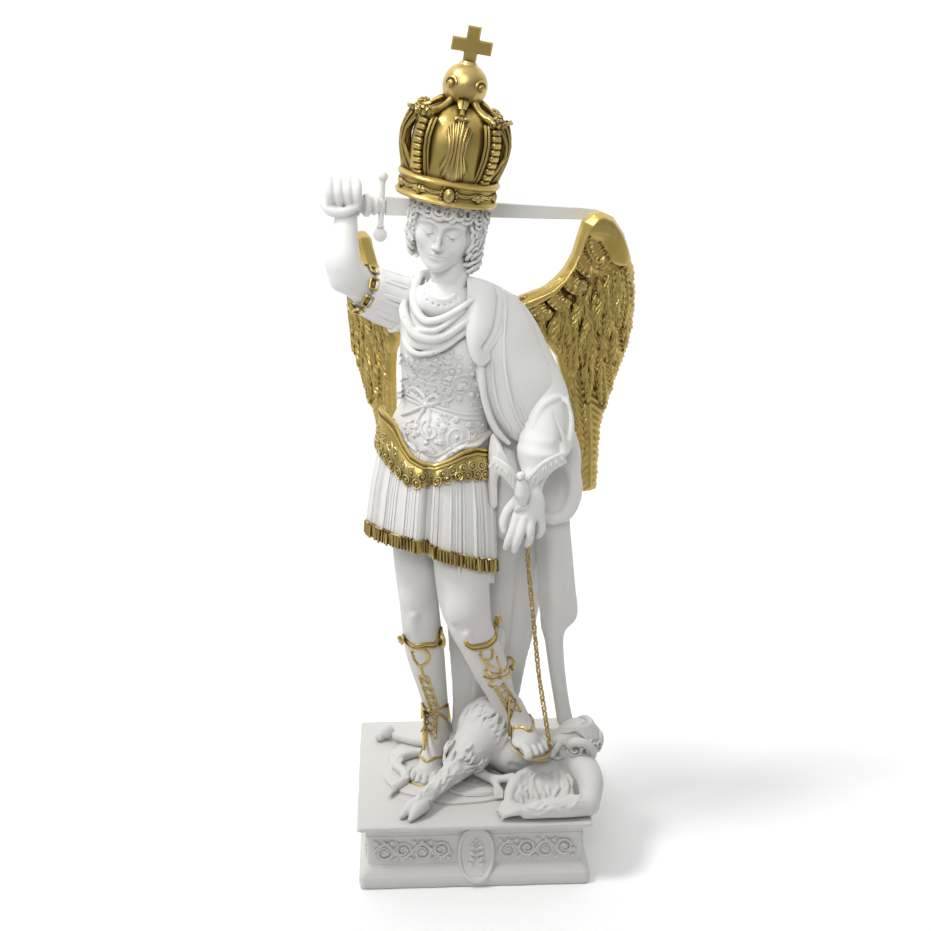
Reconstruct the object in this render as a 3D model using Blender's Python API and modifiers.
"""Cast statuette of a crowned, winged warrior angel who stands on a horned figure.

Pieces: plinth, figure_group, left_wing, right_wing, crown, sword and chain. Metres, +Z up, the front
faces -Y, and the origin is the middle of the plinth's underside. The free forms are drawn on a grid of
FIGURE_GRID parts from sole to top of head, with its zero on the plinth's top.
"""

import math

import bmesh
import bpy
import numpy as np
from mathutils import Euler, Matrix, Vector

# Plinth
PLINTH_WIDTH = 0.101
PLINTH_DEPTH = 0.101
PLINTH_HEIGHT = 0.030
CAP_HEIGHT = 0.0022
CAP_OVERHANG = 0.0040
COVE_HEIGHT = 0.0040
BASE_HEIGHT = 0.0075
BASE_OVERHANG = 0.0032
OGEE_HEIGHT = 0.0040
CARTOUCHE_WIDTH = 0.0158
CARTOUCHE_HEIGHT = 0.0250
CARTOUCHE_RELIEF = 0.0018

# Figure and what is fitted to it
FIGURE_HEIGHT = 0.266
CROWN_DIAMETER = 0.0405
CROWN_BAND_HEIGHT = 0.0105
CROWN_HEIGHT = 0.040
ORB_DIAMETER = 0.0176
CROSS_HEIGHT = 0.0150
CROSS_WIDTH = 0.0160
CROSS_ARM = 0.0052
CROSS_THICKNESS = 0.0034
BLADE_WIDTH = 0.0076
BLADE_TIP_WIDTH = 0.0052
BLADE_THICKNESS = 0.0016
FERRULE_RADIUS = 0.0047
QUILLON_LENGTH = 0.0240
QUILLON_RADIUS = 0.0013
QUILLON_BALL_RADIUS = 0.0030
LINK_LENGTH = 0.0040
LINK_WIDTH = 0.0026
LINK_WIRE_RADIUS = 0.00048

# Clearance between pieces that touch
GAP = 0.0003

# Grid of the free forms
FIGURE_GRID = 266
PART = FIGURE_HEIGHT / FIGURE_GRID
TORSO_TURN = math.radians(-20)

# Fineness of the cast surfaces
CLAY_VOXEL = 0.85 * PART
FINE_VOXEL = 0.55 * PART
GROUP_TRIANGLES = 5300
WING_TRIANGLES = 820
CROWN_TRIANGLES = 1100
SWORD_TRIANGLES = 220
CHAIN_TRIANGLES = 720

for thing in list(bpy.data.objects):
    bpy.data.objects.remove(thing, do_unlink=True)


def new_collection(name):
    collection = bpy.data.collections.new(name)
    bpy.context.scene.collection.children.link(collection)
    return collection


STATUE = new_collection("archangel_statue")
CUTTERS = new_collection("cutters")


def new_material(name, colour, roughness, metallic=0.0):
    material = bpy.data.materials.new(name)
    material.use_nodes = True
    shader = material.node_tree.nodes["Principled BSDF"]
    shader.inputs["Base Color"].default_value = (*colour, 1.0)
    shader.inputs["Roughness"].default_value = roughness
    shader.inputs["Metallic"].default_value = metallic
    return material


WHITE_CAST = new_material("white_cast", (0.86, 0.85, 0.82), 0.6)
GOLD_PAINT = new_material("gold_paint", (0.62, 0.45, 0.13), 0.4, 0.85)
GOLD_METAL = new_material("gold_metal", (0.80, 0.60, 0.24), 0.3, 1.0)


def at(x, y, z):
    """A point of the grid, in metres."""
    return Vector((x * PART, y * PART, PLINTH_HEIGHT + z * PART))


def new_object(name, mesh, material, collection):
    thing = bpy.data.objects.new(name, mesh)
    mesh.materials.clear()
    mesh.materials.append(material)
    collection.objects.link(thing)
    return thing


def evaluated_mesh(thing):
    """The object's mesh as its modifiers leave it."""
    bpy.context.view_layer.update()
    graph = bpy.context.evaluated_depsgraph_get()
    mesh = bpy.data.meshes.new_from_object(thing.evaluated_get(graph))
    mesh.transform(thing.matrix_world)
    return mesh


def triangle_count(mesh):
    return sum(len(face.vertices) - 2 for face in mesh.polygons)


def unit_ball(segments):
    """A ball of radius one, shared by every ellipsoid with so many segments."""
    name = f"unit_ball_{segments}"
    if name not in bpy.data.meshes:
        sphere = bmesh.new()
        bmesh.ops.create_uvsphere(sphere, u_segments=segments, v_segments=segments // 2 + 2, radius=1)
        mesh = bpy.data.meshes.new(name)
        sphere.to_mesh(mesh)
        sphere.free()
    return bpy.data.meshes[name]


class Clay:
    """Overlapping shapes that are pressed together into one cast skin. Lengths are metres."""

    def __init__(self):
        self.shapes = []
        self.rule = None

    def add(self, data, place=None):
        shape = bpy.data.objects.new("shape", data)
        if place:
            shape.matrix_world = place
        STATUE.objects.link(shape)
        self.shapes.append(shape)
        return shape

    def ball(self, centre, radii, turn=(0, 0, 0), segments=16):
        """An ellipsoid, turned by degrees about X, Y and Z."""
        angles = Euler([math.radians(angle) for angle in turn]).to_matrix().to_4x4()
        self.add(unit_ball(segments), Matrix.Translation(centre) @ angles @ Matrix.Diagonal((*radii, 1)))

    def limb(self, points, radii, closed=False):
        """A round bar of changing thickness through the points, with round ends."""
        curve = bpy.data.curves.new("limb", "CURVE")
        curve.dimensions = "3D"
        curve.bevel_depth = 1.0
        curve.bevel_resolution = 3
        curve.resolution_u = 6
        curve.use_fill_caps = True
        spline = curve.splines.new("BEZIER")
        spline.bezier_points.add(len(points) - 1)
        spline.use_cyclic_u = closed
        spline.radius_interpolation = "CARDINAL"
        for knot, point, radius in zip(spline.bezier_points, points, radii):
            knot.co = point
            knot.radius = radius
            knot.handle_left_type = "AUTO"
            knot.handle_right_type = "AUTO"
        self.add(curve)
        if not closed:
            self.ball(points[0], [radii[0]] * 3, segments=12)
            self.ball(points[-1], [radii[-1]] * 3, segments=12)

    def loft(self, rings):
        """A closed body through rings of equally many points, with flat ends."""
        count = len(rings[0])
        faces = [tuple(range(count))[::-1], tuple(range(count * (len(rings) - 1), count * len(rings)))]
        for row in range(len(rings) - 1):
            for i in range(count):
                j = (i + 1) % count
                low = row * count
                faces.append((low + i, low + j, low + count + j, low + count + i))
        mesh = bpy.data.meshes.new("loft")
        mesh.from_pydata([point for ring in rings for point in ring], [], faces)
        self.add(mesh)

    def sheet(self, rows, thickness):
        """A cloth through a grid of points, of even thickness."""
        across = len(rows[0])
        faces = []
        for row in range(len(rows) - 1):
            for i in range(across - 1):
                corner = row * across + i
                faces.append((corner, corner + 1, corner + across + 1, corner + across))
        mesh = bpy.data.meshes.new("sheet")
        mesh.from_pydata([point for row in rows for point in row], [], faces)
        cloth = self.add(mesh)
        rounding = cloth.modifiers.new("Round", "SUBSURF")
        rounding.levels = rounding.render_levels = 2
        wall = cloth.modifiers.new("Wall", "SOLIDIFY")
        wall.thickness = thickness
        wall.offset = 0

    def block(self, place):
        """A box with sides of one, stretched and placed by the matrix."""
        cube = bmesh.new()
        bmesh.ops.create_cube(cube, size=1)
        mesh = bpy.data.meshes.new("block")
        cube.to_mesh(mesh)
        cube.free()
        self.add(mesh, place)

    def pressed(self, name):
        """One mesh that holds all the shapes, bent by the rule if there is one."""
        bpy.context.view_layer.update()
        graph = bpy.context.evaluated_depsgraph_get()
        points = []
        faces = []
        for shape in self.shapes:
            mesh = bpy.data.meshes.new_from_object(shape.evaluated_get(graph))
            first = len(points)
            points += [shape.matrix_world @ corner.co for corner in mesh.vertices]
            faces += [[first + index for index in face.vertices] for face in mesh.polygons]
            bpy.data.meshes.remove(mesh)
        for shape in self.shapes:
            bpy.data.objects.remove(shape)
        if self.rule:
            points = [self.rule(point) for point in points]
        mesh = bpy.data.meshes.new(name)
        mesh.from_pydata(points, [], faces)
        skin = bmesh.new()
        skin.from_mesh(mesh)
        bmesh.ops.remove_doubles(skin, verts=skin.verts, dist=1e-7)
        bmesh.ops.recalc_face_normals(skin, faces=skin.faces)
        skin.to_mesh(mesh)
        skin.free()
        return mesh

    def cast(self, name, material, voxel, triangles, smoothing=1):
        """One closed skin around all the shapes, with about this many triangles."""
        thing = new_object(name, self.pressed(name), material, STATUE)
        skin = thing.modifiers.new("Skin", "REMESH")
        skin.mode = "VOXEL"
        skin.voxel_size = voxel
        rub = thing.modifiers.new("Rub", "SMOOTH")
        rub.factor = 0.5
        rub.iterations = smoothing
        dense = evaluated_mesh(thing)
        facet = thing.modifiers.new("Facet", "DECIMATE")
        facet.ratio = min(1.0, triangles / triangle_count(dense))
        bpy.data.meshes.remove(dense)
        return thing


def ring(centre, half_width, half_depth, turn=0.0, count=28, wave=None):
    """A level ring of points. wave gives each angle's share more or less than the plain radius."""
    points = []
    for i in range(count):
        angle = 2 * math.pi * i / count
        share = 1 + (wave(angle) if wave else 0)
        x = half_width * share * math.cos(angle)
        y = half_depth * share * math.sin(angle)
        turned = (x * math.cos(turn) - y * math.sin(turn), x * math.sin(turn) + y * math.cos(turn))
        points.append(at(centre[0] + turned[0], centre[1] + turned[1], centre[2]))
    return points


def grid_ball(clay, centre, radii, turn=(0, 0, 0), segments=16):
    clay.ball(at(*centre), [radius * PART for radius in radii], turn, segments)


def grid_limb(clay, points, radii):
    clay.limb([at(*point) for point in points], [radius * PART for radius in radii])


# Angel's body

def model_legs(clay):
    grid_limb(
        clay,
        [(-22, 4, 148), (-24, -1, 112), (-22, -2, 84), (-19.5, 4, 58), (-14.2, 9, 24), (-13, 11, 10)],
        [14, 9.6, 8.8, 8.8, 5.6, 5.6],
    )
    grid_limb(
        clay,
        [(-3, 4, 146), (-4, -12, 112), (-3.5, -19, 96), (0, -20, 82), (7, -15, 62), (16, -10, 38), (18, -9, 32)],
        [14, 12, 11, 9.4, 8.4, 6, 5.8],
    )
    # Feet in open boots, with the sole under them
    grid_limb(clay, [(-11, 17, 5.5), (-15, 4, 7), (-19.5, -8, 4.5)], [5, 6, 5])
    grid_ball(clay, (-20, -9, 3.6), (7.4, 8.5, 3.4), (0, 0, -12))
    grid_ball(clay, (-17, 3, 1.8), (7, 20, 1.8), (0, 0, -14))
    grid_limb(clay, [(17, -1, 27), (19.5, -11, 26), (23, -22, 20)], [5, 6, 5])
    grid_ball(clay, (24, -24, 18), (7.2, 8.5, 3.6), (-22, 0, 12))
    for foot, drop in (((-20.5, -16), 2.6), ((24.5, -30.5), 15)):
        for toe in range(5):
            x = foot[0] + (toe - 2) * 2.7
            grid_ball(clay, (x, foot[1] + 0.5 * abs(toe - 2), drop + 1), (1.6, 3, 1.9), segments=8)
    # Boot tops
    grid_ball(clay, (-20, 3, 66), (9.8, 9.6, 2.2), (0, -8, 0))
    grid_ball(clay, (5.5, -17, 71), (9.6, 9.4, 2.2), (0, -30, 0))


def model_torso(clay):
    sections = [
        ((-14, 5, 138), 20, 14),
        ((-14, 5, 152), 21, 14.5),
        ((-12, 5, 164), 19.5, 13),
        ((-10.5, 5, 174), 18.8, 12.2),
        ((-9.5, 4, 188), 20, 13.5),
        ((-8.5, 4, 200), 21, 14),
        ((-7, 5, 210), 19, 12),
        ((-7, 5, 216), 12, 9),
        ((-7.5, 3, 220), 7.5, 7.5),
    ]
    clay.loft([ring(centre, wide, deep, TORSO_TURN) for centre, wide, deep in sections])
    grid_limb(clay, [(-7.5, 4, 214), (-8.5, 0, 226), (-10, -1, 234)], [8, 7, 7.5])
    # Chest muscles and the rolled lower edge of the cuirass
    grid_ball(clay, (-18, -7, 196), (9, 5, 7), (0, 0, -20))
    grid_ball(clay, (-3, -8, 195), (9, 5, 7), (0, 0, -10))
    edge = [(-33, 2, 167), (-31, -6, 160), (-24, -12, 154), (-15, -13, 151), (-5, -12, 154), (4, -7, 160), (8, 1, 166)]
    grid_limb(clay, edge, [1.4] * len(edge))
    # Ribbon tied round the waist
    waist = [(-30, 5, 176), (-26, -5, 177), (-17, -10.5, 177.5), (-7, -10, 175.5), (3, -6, 173), (8, 2, 172)]
    grid_limb(clay, waist, [1.5] * len(waist))
    grid_ball(clay, (-17, -12, 177.5), (2.8, 2.2, 2.4))
    grid_limb(clay, [(-17, -12, 177), (-24, -11, 172), (-31, -7, 168)], [1.6, 2.2, 1.2])
    grid_limb(clay, [(-17, -12, 177), (-19, -13.5, 170), (-15, -13.5, 171)], [1.5, 1.8, 1.2])


def model_head(clay):
    turn = (10, 12, 0)
    grid_ball(clay, (-9.5, -1, 248), (12.6, 14.5, 17), turn, 24)
    grid_ball(clay, (-11.6, -6.5, 238), (9, 8.5, 8.6), turn, 20)
    grid_ball(clay, (-12.8, -12.2, 233.2), (3.4, 3, 2.8), turn)
    grid_limb(clay, [(-10.2, -15, 248.5), (-11.2, -17.4, 242.8)], [1.3, 1.9])
    grid_limb(clay, [(-17.5, -12.6, 249.6), (-10, -14.4, 249.4), (-3.5, -11.8, 247)], [1.2, 1.4, 1.2])
    grid_ball(clay, (-12, -14.2, 238.2), (3.4, 1.8, 1.4), turn)
    # Curly hair: locks in rows round the head, longer at the viewer's right and the neck
    for row, (height, radius, size) in enumerate([(257, 16.6, 4.2), (251, 17.4, 4.2), (244, 17.2, 4), (237, 15.8, 3.8), (230, 14, 3.4)]):
        locks = 11
        for i in range(locks):
            angle = math.radians(-128 + 12 * (row % 2) + 256 * i / (locks - 1))
            side = math.sin(angle)
            back = math.cos(angle)
            face_gap = 0.62 if height > 254 else (0.05 if side > 0 else 0.18)
            if back < -face_gap:
                continue
            lean = 0.21 * (height - 240)
            centre = (-12 + lean + radius * side, 0.5 + radius * 0.92 * back, height - 2 * back)
            grid_ball(clay, centre, (size, size, size * 0.95), segments=10)
    for i in range(7):
        angle = math.radians(-60 + 20 * i)
        centre = (-8.8 + 14.6 * math.sin(angle), -1.5 - 14.4 * math.cos(angle), 256.5 - 0.8 * abs(i - 3) - 0.4 * i)
        grid_ball(clay, centre, (3, 2.6, 3), segments=10)


def model_arms(clay):
    # Raised sword arm
    grid_limb(clay, [(-27, 7, 211), (-38, 3, 218), (-50, -3, 225)], [10.5, 9.4, 7.2])
    grid_limb(clay, [(-50.5, -3.5, 225), (-52.4, -3, 232), (-51.5, 3, 242), (-50.6, 9, 251)], [7, 7.2, 5.6, 4.7])
    grid_ball(clay, (-52, 11.5, 258.5), (8, 6.6, 6.6), (0, -8, 0), 20)
    for i in range(4):
        x = -57.4 + 3.8 * i
        knuckles = [(x, 6, 263 - 0.4 * i), (x + 0.6, 3.6, 258.5), (x + 0.8, 6, 254.2)]
        grid_limb(clay, knuckles, [2.2, 2.1, 1.8])
    grid_limb(clay, [(-57, 6, 253.5), (-50, 4.5, 252.6), (-46, 5.5, 255)], [2.3, 2.2, 1.9])
    # Short sleeve of strips
    for i in range(9):
        angle = 2 * math.pi * i / 9
        side = math.cos(angle)
        up = math.sin(angle)
        start = (-29, 6 - 12 * side, 214 + 12 * up)
        end = (-43, 2 - 11 * side, 218.5 + 11 * up)
        clay.loft([strip_end(start, side, up), strip_end(end, side, up)])
    grid_ball(clay, (-31, 6, 213), (6, 13.4, 13.2), (0, 12, 0))
    # Lowered arm with its sleeve
    grid_limb(clay, [(17, 6, 206), (24, 2, 190), (31, -2, 174)], [11, 9.6, 9])
    grid_limb(clay, [(31, -2, 176), (29.5, -8, 164), (27, -15, 152), (24.6, -20, 143)], [9.4, 9.2, 7, 4.6])
    grid_ball(clay, (23, -25, 135.5), (6.6, 4.4, 8), (-28, 0, 0), 20)
    fingers = [
        [(19, -28, 130), (16, -31, 124), (13.4, -31, 118)],
        [(21.6, -29, 129), (19.8, -32, 123), (17.6, -31.6, 117.6)],
        [(24.4, -28.6, 129), (24.4, -31, 123.5), (22.6, -29, 118.6)],
        [(27, -26.6, 130), (28.4, -28, 125), (27, -26, 120.4)],
        [(17.4, -23, 137), (14.4, -24.4, 130), (13.8, -27, 124)],
    ]
    for finger in fingers:
        grid_limb(clay, finger, [2, 1.9, 1.6])


def strip_end(centre, side, up):
    """The flat end of one sleeve strip, whose face looks outwards along side and up."""
    half_width = 3.2
    half_thickness = 0.9
    corners = []
    for across, out in ((-1, -1), (1, -1), (1, 1), (-1, 1)):
        y = centre[1] - side * half_thickness * out + up * half_width * across
        z = centre[2] + up * half_thickness * out + side * half_width * across
        corners.append(at(centre[0], y, z))
    return corners


# Angel's dress

HEM_MIDDLE = (-16.5, -1, 107)
HEM_HALF = (28, 23)
HEM_SWAY = -9
HEM_LIFT = 6
PLEATS = 26


def hem_height(angle):
    return HEM_MIDDLE[2] + HEM_SWAY * math.cos(angle) - HEM_LIFT * math.sin(angle)


def skirt_ring(share, pleat):
    """The skirt's outline at a share of the way down, with knife pleats of the given depth."""
    count = PLEATS * 4
    top = ((-13.5, 4, 166), (21.5, 15))
    points = []
    for i in range(count):
        angle = 2 * math.pi * i / count
        fold = (0, 1, 1, 0.25)[i % 4] * pleat
        grow = share ** 0.8
        half = [a + (b - a) * grow + fold for a, b in zip(top[1], HEM_HALF)]
        middle = [a + (b - a) * share for a, b in zip(top[0][:2], HEM_MIDDLE[:2])]
        height = top[0][2] + (hem_height(angle) - top[0][2]) * share
        points.append(at(middle[0] + half[0] * math.cos(angle), middle[1] + half[1] * math.sin(angle), height))
    return points


def model_skirt(clay):
    clay.loft([skirt_ring(share, 2.6 * min(1, share * 2)) for share in (1.0, 0.8, 0.6, 0.4, 0.2, 0.0)])
    # Raised band along the hem, and the leafy apron of the belt
    band = []
    for i in range(25):
        angle = 2 * math.pi * i / 25
        half = (HEM_HALF[0] + 1.6, HEM_HALF[1] + 1.6)
        band.append(at(HEM_MIDDLE[0] + half[0] * math.cos(angle), HEM_MIDDLE[1] + half[1] * math.sin(angle), hem_height(angle) + 2.6))
    clay.limb(band, [1.5 * PART] * len(band), closed=True)
    for i in range(15):
        angle = math.radians(170 + 200 * i / 14)
        x = -13.5 + 24.5 * math.cos(angle)
        y = 3.5 + 18.5 * math.sin(angle)
        dip = 7 * math.sin(math.radians(180 * i / 14))
        grid_ball(clay, (x, y, 159 - dip), (4.2, 3, 8.4), (0, 0, math.degrees(angle) + 90), 12)


def model_cloak(clay):
    # Back of the cloak and the drapery that carries the figure
    folds = lambda angle: 0.06 * math.cos(11 * angle + 0.6) + 0.05 * math.cos(5 * angle)
    sections = [
        ((5.5, 12, 0.6), 16, 10),
        ((7, 12, 18), 13.5, 8.4),
        ((9, 13, 40), 15.5, 8.4),
        ((10.5, 14, 62), 18.5, 8.6),
        ((11.5, 14, 90), 21.5, 9),
        ((12, 15, 120), 24, 10),
        ((9, 16, 150), 27, 10),
        ((4, 16, 180), 27, 9),
        ((-3, 14, 205), 25, 8),
        ((-6, 10, 216), 18, 6),
    ]
    clay.loft([ring(centre, wide, deep, math.radians(6), 44, folds) for centre, wide, deep in sections])
    # Cowl across the chest, with rolled folds on it
    cowl = [
        [(-17, 4, 221.5), (-19, -7, 216), (-14, -12, 212), (-7, -12.5, 213), (0, -9, 218)],
        [(-22, 4, 219), (-24, -8, 211), (-17, -14.5, 206.5), (-7, -15, 208.5), (2, -11.5, 214)],
        [(-27, 3, 214), (-29, -6, 206), (-22, -12.5, 201), (-9, -14.5, 203.5), (3, -12, 209)],
    ]
    clay.sheet([[at(*point) for point in row] for row in cowl], 3 * PART)
    rolls = [
        [(-24, 6, 218), (-28.5, -2, 211), (-28, -9, 204), (-22, -13.5, 201.5), (-12, -15.5, 204), (1, -13, 211)],
        [(-20, 4, 221), (-24.5, -7, 212.5), (-17, -15, 206), (-8, -16, 208.5), (2, -12.5, 215)],
        [(-18, 2, 222.5), (-19, -8, 215.5), (-14, -12.5, 212), (-7, -13, 213.5), (-1, -9, 218.5)],
    ]
    for roll in rolls:
        widths = [1.6 + 1.0 * math.sin(math.pi * i / (len(roll) - 1)) for i in range(len(roll))]
        grid_limb(clay, roll, widths)
    # Broad panel over the shoulder, tucked in at its foot
    panel = [
        [(-6, -1, 223), (-1, -8, 221), (4, -9.5, 217), (10, -8, 213)],
        [(-4, -12, 214), (0.5, -15, 210), (6, -14.5, 207), (12, -11, 205)],
        [(-3.5, -15, 205), (0, -17.5, 201), (5, -16.5, 199), (12, -12, 198)],
        [(-2.5, -14, 196), (0, -16, 194), (4, -15.5, 194), (10, -12, 192)],
    ]
    clay.sheet([[at(*point) for point in row] for row in panel], 3.2 * PART)
    # Cloak over the lowered arm, its lobe and the loop behind the forearm
    drape = [
        [(4, -8, 219), (12, -6, 217.5), (19, 2, 215), (20, 12, 212)],
        [(2, -13, 200), (14, -12, 200), (27, -4, 199), (30, 11, 198)],
        [(3, -12, 186), (15, -12.5, 183), (33, -8, 184), (37, 10, 182)],
        [(8, -10, 172), (18, -11, 167), (38, -6, 166), (41, 9, 165)],
        [(15, -8, 164), (22, -6, 158), (41, -2, 153), (43, 9, 152)],
    ]
    clay.sheet([[at(*point) for point in row] for row in drape], 3 * PART)
    grid_limb(clay, [(6, -10, 176), (10, -12, 166), (17, -12, 161)], [2.2, 3, 2.4])
    grid_limb(clay, [(9, -14, 156), (11, -17, 148), (12, -19, 140), (9.5, -20, 129)], [3, 4, 4, 3.4])
    grid_limb(clay, [(37, 4, 148), (44, 0, 141), (44.5, -2, 132), (39, -2, 122), (31, -4, 121)], [3.4, 4, 4.4, 4, 3])
    grid_limb(clay, [(41, 6, 160), (44, 5, 146), (42, 4, 130)], [3.6, 4.4, 4])
    # Tail of the cloak and the strut under it
    tail = [
        [(29, 6, 130), (35, 3, 129), (41, 6, 128)],
        [(31, 7, 108), (38, 2.5, 104), (44.5, 8, 100)],
        [(33, 7, 88), (39, 2, 80), (47.5, 8, 74)],
        [(34, 7, 64), (37, 4, 60), (42, 7, 62)],
    ]
    clay.sheet([[at(*point) for point in row] for row in tail], 5 * PART)
    grid_limb(clay, [(38, 7, 68), (40, 4, 46), (43, -4, 26)], [4.4, 3.8, 3.6])


def model_dove(clay):
    """Small bird with spread wings on the back of the lowered wrist."""
    grid_limb(clay, [(19.6, -30, 139), (20, -30.5, 144), (19.4, -31, 148)], [2, 2.7, 1.7])
    grid_ball(clay, (18.6, -32, 150), (1.7, 1.9, 1.7))
    for tip, root in (((8.6, -28, 155), (18.4, -30, 145.5)), ((36.8, -24, 155.5), (21.8, -29.5, 145.5))):
        middle = [(a + b) / 2 for a, b in zip(tip, root)]
        grid_limb(clay, [root, (middle[0], middle[1] - 1.4, middle[2] - 0.6), tip], [2.1, 2.2, 0.8])
        grid_limb(clay, [root, (middle[0], middle[1] - 1, middle[2] - 3.6)], [2, 1.1])


# Horned figure under the angel's feet, and the ground

def model_ground(clay):
    outline = lambda angle: 0.05 * math.cos(3 * angle + 1) + 0.03 * math.cos(7 * angle)
    thick = 1.7
    clay.loft([ring((2, 4, height), 41, 37, 0, 40, outline) for height in (-1.5, thick)])
    for radius in (13, 9, 5):
        points = [
            at(2 + radius * math.cos(math.pi * i / 6), -8 + 0.85 * radius * math.sin(math.pi * i / 6), thick)
            for i in range(12)
        ]
        clay.limb(points, [0.8 * PART] * 12, closed=True)
    tail = [(-28, 8, 2), (-33, 4, 2.4), (-31.5, -4, 2.4), (-29, -10, 2.2), (-33, -18, 2), (-37, -25, 1.8)]
    grid_limb(clay, tail, [1.6, 2.2, 2.2, 2, 1.8, 1])


def model_horned_figure(clay):
    grid_ball(clay, (9, -3, 20), (13.5, 12, 14.5), (0, 10, 0), 20)
    grid_ball(clay, (21, -3, 14), (13, 11.5, 11.5), (0, 0, 0), 20)
    grid_ball(clay, (34, -8, 13.5), (12, 11, 10.5), (0, 0, 0), 20)
    # Raised leg, from haunch to cloven hoof
    grid_limb(clay, [(6, -8, 20), (0, -14, 15), (-7, -21, 10.5), (-16, -30, 7), (-23, -37, 4.5)], [11, 8.4, 5, 3.6, 3.2])
    for x, y in ((-28, -42), (-25.5, -43.5)):
        grid_ball(clay, (x, y, 2.6), (5, 2.4, 2.4), (0, 12, 50), 12)
    # Far leg and its hoof
    grid_limb(clay, [(-16, 20, 4), (-28, 22, 3.4), (-37, 31, 3.6)], [3, 2.4, 2.2])
    grid_ball(clay, (-40, 33.5, 3.6), (3.6, 3, 3.2))
    # Head with swept hair, curled horn and face
    grid_limb(clay, [(35, -9, 15), (44, -11, 18)], [7.5, 7])
    grid_ball(clay, (47, -12, 20), (9.8, 9.6, 10), (0, 0, 0), 20)
    grid_ball(clay, (40.5, -16, 18.5), (7, 6.4, 7.4))
    grid_limb(clay, [(38, -18.6, 24), (34.8, -21.4, 20.6)], [2.4, 2])
    grid_ball(clay, (37, -20, 13.4), (3.4, 3, 2.8))
    for i in range(9):
        angle = math.radians(-70 + 25 * i)
        grid_ball(clay, (47 + 8.8 * math.cos(angle), -14, 20.5 + 8.8 * math.sin(angle)), (3, 6, 2.6), (0, 0, 20), 10)
    horn = [(42, -20, 19.5), (47, -22.5, 21), (52, -22, 18), (52, -21.5, 13.6), (48, -21.6, 12.6), (46.6, -21.4, 15.6)]
    grid_limb(clay, horn, [2.6, 2.4, 2.2, 1.9, 1.6, 1.1])
    # Near arm along the front edge, and the second arm with its web
    grid_limb(clay, [(46, -18, 10), (50, -27, 10), (50, -36, 7), (49, -44, 4.8)], [6.5, 6, 5.2, 4.6])
    grid_limb(clay, [(49, -44, 4.6), (34, -45, 4.6), (20, -46, 4)], [4.6, 4.2, 3.2])
    grid_limb(clay, [(40, -18, 9), (27, -24, 8.4), (18, -28, 7.4), (15, -36, 5), (13.5, -42, 3.6)], [5, 3.8, 3.4, 3, 2.6])
    web = [
        [(19, -29, 8), (30, -24, 9), (42, -20, 9)],
        [(18, -35, 4.5), (28, -33, 5), (42, -30, 5)],
        [(17, -39, 2), (27, -38, 2), (44, -38, 2)],
    ]
    clay.sheet([[at(*point) for point in row] for row in web], 2.4 * PART)
    for i in range(4):
        grid_limb(clay, [(17, -45 - 0.4 * i, 4), (12.5 - 0.6 * i, -47.6 + 2.2 * i, 2), (10.4, -48.4 + 2.4 * i, 1.2)], [1.7, 1.4, 0.9])
    grid_limb(clay, [(-2, -12, 9), (4, -16, 6.5), (9, -20, 5.4), (16, -24, 6)], [3.6, 2.8, 2.2, 2.2])
    grid_limb(clay, [(10, -21, 5), (11, -25, 3), (12, -28, 1.8)], [1.8, 1.5, 1.2])


def model_figure_group():
    clay = Clay()
    for model in (
        model_legs,
        model_torso,
        model_head,
        model_arms,
        model_skirt,
        model_cloak,
        model_dove,
        model_ground,
        model_horned_figure,
    ):
        model(clay)
    return clay.cast("figure_group", WHITE_CAST, CLAY_VOXEL, GROUP_TRIANGLES, smoothing=1)


# Wings

WING_ROOTS = {"left_wing": ((25, 22), 15), "right_wing": ((-28, 25), 125.3)}
WING_SIZE = {"left_wing": 1.0, "right_wing": 0.88}
WING_LEAN = {"left_wing": 0.0, "right_wing": 11.5}
WING_BOW = 4
WING_REACH = 54
WING_HINGE = 212


def wing_feathers(clay, count, shoulder, tips, half_width, lift):
    """A fan of overlapping feathers from the arm of the wing to the given row of tips."""
    for i in range(count):
        share = i / (count - 1)
        root = np.array(shoulder[0]) * (1 - share) + np.array(shoulder[1]) * share
        place = share * (len(tips) - 1)
        low = min(int(place), len(tips) - 2)
        tip = np.array(tips[low]) * (1 - place + low) + np.array(tips[low + 1]) * (place - low)
        middle = (root + tip) / 2
        length = np.linalg.norm(tip - root)
        lean = math.degrees(math.atan2(tip[1] - root[1], tip[0] - root[0]))
        clay.ball(Vector((middle[0], 0, middle[1])), (length / 2, lift + 0.25 * (i % 2), half_width), (0, -lean, 0), 16)


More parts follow.
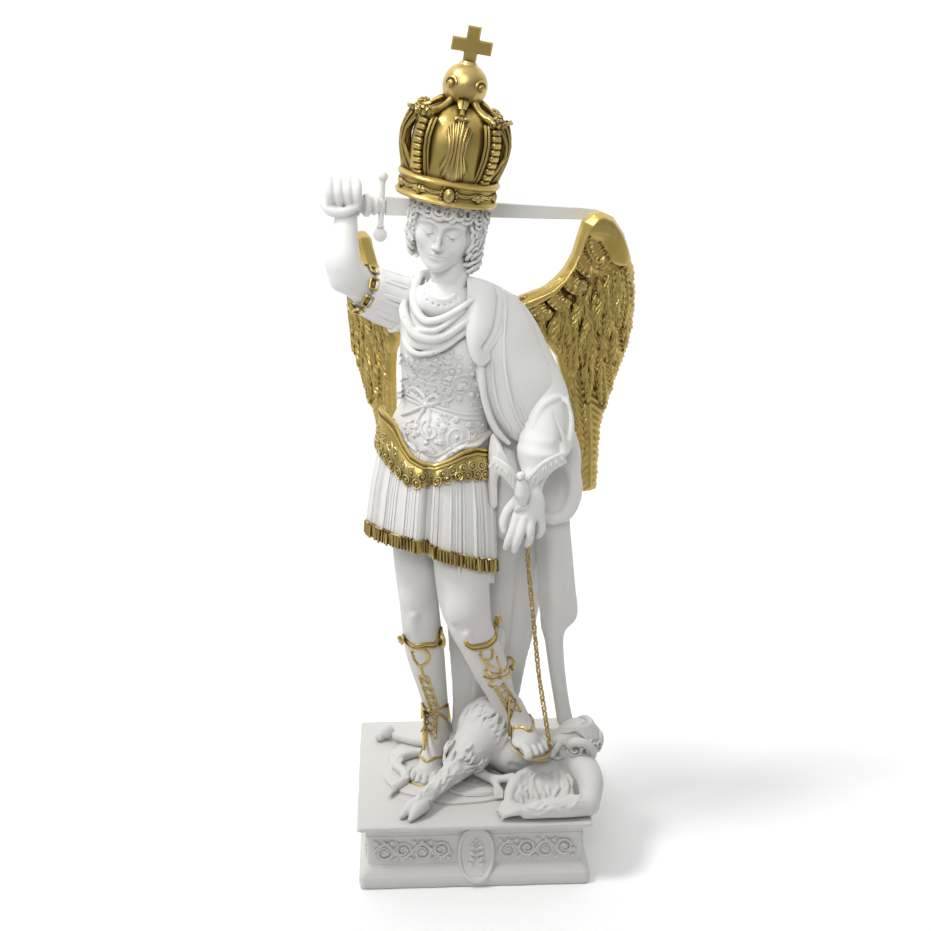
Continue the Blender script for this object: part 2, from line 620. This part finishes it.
def model_wing(name):
    """The wing is laid out flat, outwards along X and up along Z in grid parts, then bowed and set."""
    clay = Clay()
    long_tips = [(51, 226), (53, 215), (52.6, 206), (51, 196), (48, 189), (43.6, 178), (39.5, 165), (36, 152)]
    long_tips += [(34, 124), (27.5, 121), (24, 146), (19, 166), (14, 186)]
    wing_feathers(clay, 15, ((41, 239), (6, 212)), long_tips, 4.3, 1.5)
    middle_tips = [(50, 228), (48, 208), (43, 192), (37, 178), (30, 170), (22, 176), (15, 190)]
    wing_feathers(clay, 10, ((39, 242), (6, 214)), middle_tips, 3.6, 2.6)
    short_tips = [(48, 232), (44, 220), (37, 208), (28, 203), (18, 202), (10, 204)]
    wing_feathers(clay, 8, ((36, 243), (6, 216)), short_tips, 3.6, 3.6)
    arm = [(-6, 208), (3, 213), (12, 219.5), (19, 229.5), (25, 241), (30, 245.4), (35, 245.2), (40, 241), (44.5, 233)]
    clay.limb([Vector((u, 0, v)) for u, v in arm], [4.4, 4, 3.6, 3.6, 3.4, 3.4, 3.4, 3.4, 3])
    clay.limb([Vector((-6, 0, 204)), Vector((4, 0, 203)), Vector((14, 0, 205))], [4, 4.6, 3.6])
    for u, v, size in ((27, 232, 6.5), (34, 237, 5.5), (20, 222, 7)):
        clay.ball(Vector((u, 0, v)), (size, 2.6, size))
    root, heading = WING_ROOTS[name]
    along = (math.cos(math.radians(heading)), math.sin(math.radians(heading)))
    # The hollow face of each wing looks to the front of the turned torso
    front = -1 if name == "left_wing" else 1
    out = (-along[1] * front, along[0] * front)

    size = WING_SIZE[name]
    lean = math.radians(WING_LEAN[name])

    def set_on_back(co):
        u = size * (co.x * math.cos(lean) + (co.z - WING_HINGE) * math.sin(lean))
        v = size * ((co.z - WING_HINGE) * math.cos(lean) - co.x * math.sin(lean))
        bow = -WING_BOW * math.sin(math.pi * min(max(u, 0) / WING_REACH, 1)) + 0.0012 * max(u, 0) ** 2
        depth = co.y - bow
        return at(
            root[0] + along[0] * u + out[0] * depth, root[1] + along[1] * u + out[1] * depth, WING_HINGE + v
        )

    clay.rule = set_on_back
    return clay.cast(name, GOLD_PAINT, CLAY_VOXEL, WING_TRIANGLES, smoothing=1)


# Crown

CROWN_SEAT = (-10.2, -4.0, 258.4)
CROWN_ROLL = math.radians(10)
CROWN_NOD = math.radians(3)
PLUMES = 8


def model_crown():
    """Built upright with its foot at zero, then tilted and set on the head."""
    clay = Clay()
    radius = CROWN_DIAMETER / 2
    band = CROWN_BAND_HEIGHT
    top = CROWN_HEIGHT
    flare = radius * 0.99
    profile = [
        (radius * 0.98, 0),
        (radius * 1.04, band * 0.08),
        (radius * 1.0, band * 0.22),
        (radius * 0.94, band * 0.5),
        (radius * 0.97, band * 0.8),
        (radius * 1.02, band * 0.92),
        (radius * 0.98, band),
        (radius * 0.8, band * 1.15),
        (radius * 0.76, top * 0.45),
        (radius * 0.76, top * 0.6),
        (radius * 0.7, top * 0.75),
        (radius * 0.52, top * 0.86),
        (radius * 0.3, top * 0.92),
        (radius * 0.24, top * 0.98),
    ]
    rings = []
    for wide, height in profile:
        lobes = 0.045 if height > band * 1.05 else 0.0
        row = []
        for i in range(48):
            angle = 2 * math.pi * i / 48
            reach = wide * (1 + lobes * abs(math.sin(PLUMES * angle)))
            row.append(Vector((reach * math.cos(angle), reach * math.sin(angle), height)))
        rings.append(row)
    clay.loft(rings)
    for i in range(PLUMES):
        angle = 2 * math.pi * i / PLUMES - math.pi / 2
        out = Vector((math.cos(angle), math.sin(angle), 0))
        across = Vector((-out.y, out.x, 0))
        height = lambda share: Vector((0, 0, top * share))
        spine = [
            out * radius * 0.9 + height(0.26),
            out * flare * 0.95 + height(0.46),
            out * flare * 1.0 + height(0.64),
            out * flare * 0.93 + height(0.8),
        ]
        clay.limb(spine, [0.0022, 0.0027, 0.0025, 0.0022])
        for side in (-1, 1):
            edge = [point + across * side * 0.0028 for point in spine]
            clay.limb(edge, [0.0011, 0.0014, 0.0015, 0.0012])
            leaf = spine[-1] + across * side * 0.0022 + height(0.02)
            clay.ball(leaf, (0.0022, 0.0022, 0.0028), segments=10)
        arch = [spine[-1], out * radius * 0.62 + height(0.9), out * radius * 0.26 + height(0.99)]
        clay.limb(arch, [0.0017, 0.0014, 0.0014])
    clay.ball(Vector((0, -radius * 0.98, band * 0.5)), (0.0030, 0.0016, 0.0038), segments=12)
    orb = ORB_DIAMETER / 2
    orb_height = top * 0.97 + orb * 0.82
    clay.ball(Vector((0, 0, orb_height)), (orb, orb, orb), segments=20)
    for side in (-1, 1):
        knob = Vector((side * orb * 0.72, -orb * 0.52, orb_height + orb * 0.42))
        clay.ball(knob, (orb * 0.27, orb * 0.27, orb * 0.27), segments=10)
    foot = orb_height + orb * 0.86
    clay.ball(Vector((0, 0, foot)), (CROSS_ARM * 0.6, CROSS_THICKNESS * 0.9, CROSS_ARM * 0.4), segments=12)
    bars = (
        (CROSS_ARM / 2, CROSS_HEIGHT / 2, foot + CROSS_HEIGHT / 2),
        (CROSS_WIDTH / 2, CROSS_ARM / 2, foot + CROSS_HEIGHT - CROSS_ARM * 1.45),
    )
    for half_width, half_height, middle in bars:
        size = Matrix.Diagonal((2 * half_width, CROSS_THICKNESS, 2 * half_height, 1))
        clay.block(Matrix.Translation((0, 0, middle)) @ size)
    tilt = Euler((CROWN_NOD, CROWN_ROLL, 0)).to_matrix().to_4x4()
    seat = Matrix.Translation(at(*CROWN_SEAT)) @ tilt
    clay.rule = lambda point: seat @ point
    return clay.cast("crown", GOLD_PAINT, FINE_VOXEL, CROWN_TRIANGLES, smoothing=1)


# Sword

FERRULE_START = (-46.5, 11.0, 255.2)
BLADE_END = (60, 38.5, 247.4)


def model_sword():
    """Ferrule, guard and blade on one straight line from the fist to behind the wing's shoulder."""
    clay = Clay()
    start = at(*FERRULE_START)
    line = at(*BLADE_END) - start
    length = line.length
    turn = line.to_track_quat("X", "Z").to_matrix().to_4x4()
    guard = 10.8 * PART
    blade = guard + 1.5 * QUILLON_RADIUS
    for end, radius in ((0, FERRULE_RADIUS * 0.62), (0.45 * guard, FERRULE_RADIUS), (0.68 * guard, FERRULE_RADIUS * 0.75)):
        rings = []
        for x in (end - guard * 0.01, end + guard * 0.33):
            corners = [2 * math.pi * i / 16 for i in range(16)]
            rings.append([Vector((x, radius * math.cos(turn_by), radius * math.sin(turn_by))) for turn_by in corners])
        clay.loft(rings)
    clay.ball(Vector((guard * 0.62, 0, 0)), (guard * 0.35, FERRULE_RADIUS * 0.8, FERRULE_RADIUS * 0.8))
    half = QUILLON_LENGTH / 2
    clay.limb([Vector((guard, 0, -half)), Vector((guard, 0, 0)), Vector((guard, 0, half))], [QUILLON_RADIUS] * 3)
    clay.ball(Vector((guard, 0, -half)), [QUILLON_BALL_RADIUS] * 3)
    clay.ball(Vector((guard, 0, half)), (QUILLON_BALL_RADIUS * 0.7,) * 3)
    clay.ball(Vector((guard, 0, 0)), (QUILLON_RADIUS * 1.8, BLADE_THICKNESS * 1.4, BLADE_WIDTH * 0.5))
    rings = []
    for share, width in ((0, BLADE_WIDTH), (0.9, BLADE_TIP_WIDTH), (0.97, BLADE_TIP_WIDTH * 0.8), (1.0, BLADE_TIP_WIDTH * 0.35)):
        x = blade + (length - blade) * share
        half_width = width / 2
        half_thickness = BLADE_THICKNESS / 2
        rings.append(
            [
                Vector((x, -half_thickness * 0.5, -half_width)),
                Vector((x, half_thickness * 0.5, -half_width)),
                Vector((x, half_thickness, 0)),
                Vector((x, half_thickness * 0.5, half_width)),
                Vector((x, -half_thickness * 0.5, half_width)),
                Vector((x, -half_thickness, 0)),
            ]
        )
    clay.loft(rings)
    place = Matrix.Translation(start) @ turn
    clay.rule = lambda point: place @ point
    return clay.cast("sword", WHITE_CAST, 0.4 * PART, SWORD_TRIANGLES, smoothing=1)


# Chain

CHAIN_ROUTE = [(22.6, -28, 122), (23.5, -27.5, 108), (26, -26.5, 84), (28.5, -25.5, 60), (31.5, -25.5, 40), (34, -25.2, 24)]


def model_chain():
    """Oval links, each turned a quarter from the last, along a hanging curve."""
    clay = Clay()
    route = [at(*point) for point in CHAIN_ROUTE]
    steps = [(b - a).length for a, b in zip(route, route[1:])]
    pitch = LINK_LENGTH - 3.2 * LINK_WIRE_RADIUS
    count = int(sum(steps) / pitch)
    half_length = LINK_LENGTH / 2 - LINK_WIRE_RADIUS
    half_width = LINK_WIDTH / 2 - LINK_WIRE_RADIUS
    for i in range(count):
        travel = sum(steps) * (i + 0.5) / count
        leg = 0
        while travel > steps[leg]:
            travel -= steps[leg]
            leg += 1
        centre = route[leg].lerp(route[leg + 1], travel / steps[leg])
        along = (route[leg + 1] - route[leg]).normalized()
        side = Matrix.Rotation(math.radians(45 + 90 * (i % 2)), 3, along) @ along.orthogonal().normalized()
        points = []
        for k in range(8):
            angle = 2 * math.pi * k / 8
            points.append(centre + along * half_length * math.cos(angle) + side * half_width * math.sin(angle))
        clay.limb(points, [LINK_WIRE_RADIUS] * 8, closed=True)
    return clay.cast("chain", GOLD_METAL, 0.3 * PART, CHAIN_TRIANGLES, smoothing=0)


# Plinth

def square_course(profile):
    """Turns a profile of (half width, height) in four steps, which gives a square block."""
    mesh = bpy.data.meshes.new("plinth")
    outline = bmesh.new()
    corners = [outline.verts.new((half * math.sqrt(2), 0, height)) for half, height in profile]
    for upper, lower in zip(corners, corners[1:]):
        outline.edges.new((upper, lower))
    outline.to_mesh(mesh)
    outline.free()
    block = new_object("plinth", mesh, WHITE_CAST, STATUE)
    turning = block.modifiers.new("Turn", "SCREW")
    turning.steps = turning.render_steps = 4
    turning.use_merge_vertices = True
    turning.merge_threshold = 0.00005
    block.rotation_euler = (0, 0, math.pi / 4)
    return block


def model_plinth():
    half = PLINTH_WIDTH / 2
    die = half - CAP_OVERHANG
    base = die + BASE_OVERHANG
    top = PLINTH_HEIGHT
    cove_foot = top - CAP_HEIGHT - COVE_HEIGHT
    ogee_foot = BASE_HEIGHT - OGEE_HEIGHT * 0.35
    profile = [
        (0, top),
        (half, top),
        (half, top - CAP_HEIGHT),
        (half - 0.25 * CAP_OVERHANG, top - CAP_HEIGHT),
        (die + 0.3 * CAP_OVERHANG, top - CAP_HEIGHT - 0.35 * COVE_HEIGHT),
        (die, cove_foot),
        (die, BASE_HEIGHT + OGEE_HEIGHT * 0.65),
        (die + 0.25 * BASE_OVERHANG, BASE_HEIGHT + OGEE_HEIGHT * 0.3),
        (base - 0.2 * BASE_OVERHANG, ogee_foot),
        (base, ogee_foot - 0.0008),
        (base, 0.0006),
        (base - 0.0006, 0),
        (0, 0),
    ]
    block = square_course(profile)
    mesh = evaluated_mesh(block)
    mesh.transform(Matrix.Diagonal((1, PLINTH_DEPTH / PLINTH_WIDTH, 1, 1)))
    bpy.data.objects.remove(block)
    plinth = new_object("plinth", mesh, WHITE_CAST, STATUE)
    boss = bmesh.new()
    bmesh.ops.create_uvsphere(boss, u_segments=28, v_segments=10, radius=1)
    boss_mesh = bpy.data.meshes.new("cartouche")
    boss.to_mesh(boss_mesh)
    boss.free()
    cartouche = new_object("cartouche", boss_mesh, WHITE_CAST, CUTTERS)
    front = PLINTH_DEPTH / 2 - CAP_OVERHANG * PLINTH_DEPTH / PLINTH_WIDTH
    boss_mesh.transform(
        Matrix.Translation((0.0006, -front, PLINTH_HEIGHT / 2))
        @ Matrix.Diagonal((CARTOUCHE_WIDTH / 2, 2 * CARTOUCHE_RELIEF, CARTOUCHE_HEIGHT / 2, 1))
    )
    hide(cartouche)
    union = plinth.modifiers.new("Cartouche", "BOOLEAN")
    union.operation = "UNION"
    union.object = cartouche
    return plinth


def hide(thing):
    thing.hide_render = True
    thing.display_type = "WIRE"


def room_for(piece):
    """A hidden copy of the piece, grown by the clearance, that cuts its seat out of the group."""
    room = new_object(piece.name + "_room", piece.data.copy(), WHITE_CAST, CUTTERS)
    swell = room.modifiers.new("Clearance", "DISPLACE")
    swell.mid_level = 0
    swell.strength = GAP * 1.3
    hide(room)
    return room


def chain_room():
    """A hidden round bar along the chain, which clears a channel for it where it meets the group."""
    clay = Clay()
    clay.limb([at(*point) for point in CHAIN_ROUTE], [LINK_WIDTH / 2 + 2 * GAP] * len(CHAIN_ROUTE))
    room = new_object("chain_room", clay.pressed("chain_room"), WHITE_CAST, CUTTERS)
    skin = room.modifiers.new("Skin", "REMESH")
    skin.mode = "VOXEL"
    skin.voxel_size = CLAY_VOXEL
    hide(room)
    return room


def below_ground():
    """A hidden block that cuts the group off level just above the plinth's top."""
    block = bmesh.new()
    size = 2 * FIGURE_HEIGHT
    bmesh.ops.create_cube(block, size=size)
    mesh = bpy.data.meshes.new("below_ground")
    block.to_mesh(mesh)
    block.free()
    mesh.transform(Matrix.Translation((0, 0, PLINTH_HEIGHT + GAP - size / 2)))
    plane = new_object("below_ground", mesh, WHITE_CAST, CUTTERS)
    hide(plane)
    return plane


def settle(piece):
    """Makes the modifiers' result the piece's own mesh and drops crumbs that came loose from it."""
    mesh = evaluated_mesh(piece)
    skin = bmesh.new()
    skin.from_mesh(mesh)
    bmesh.ops.triangulate(skin, faces=skin.faces)
    left = set(skin.verts)
    shells = []
    while left:
        shell = {left.pop()}
        edge = list(shell)
        while edge:
            here = edge.pop()
            for link in here.link_edges:
                other = link.other_vert(here)
                if other in left:
                    left.remove(other)
                    shell.add(other)
                    edge.append(other)
        shells.append(shell)
    shells.sort(key=len)
    for crumb in shells[:-1]:
        bmesh.ops.delete(skin, geom=list(crumb), context="VERTS")
    skin.to_mesh(mesh)
    skin.free()
    piece.modifiers.clear()
    piece.data = mesh
    mesh.shade_smooth()
    mesh.set_sharp_from_angle(angle=math.radians(50))


def main():
    model_plinth()
    fitted = [model_wing("left_wing"), model_wing("right_wing"), model_crown(), model_sword()]
    for piece in fitted:
        settle(piece)
    settle(model_chain())
    rooms = [below_ground(), chain_room()] + [room_for(piece) for piece in fitted]
    group = model_figure_group()
    for room in rooms:
        cut = group.modifiers.new(room.name, "BOOLEAN")
        cut.operation = "DIFFERENCE"
        cut.object = room
    settle(group)


main()
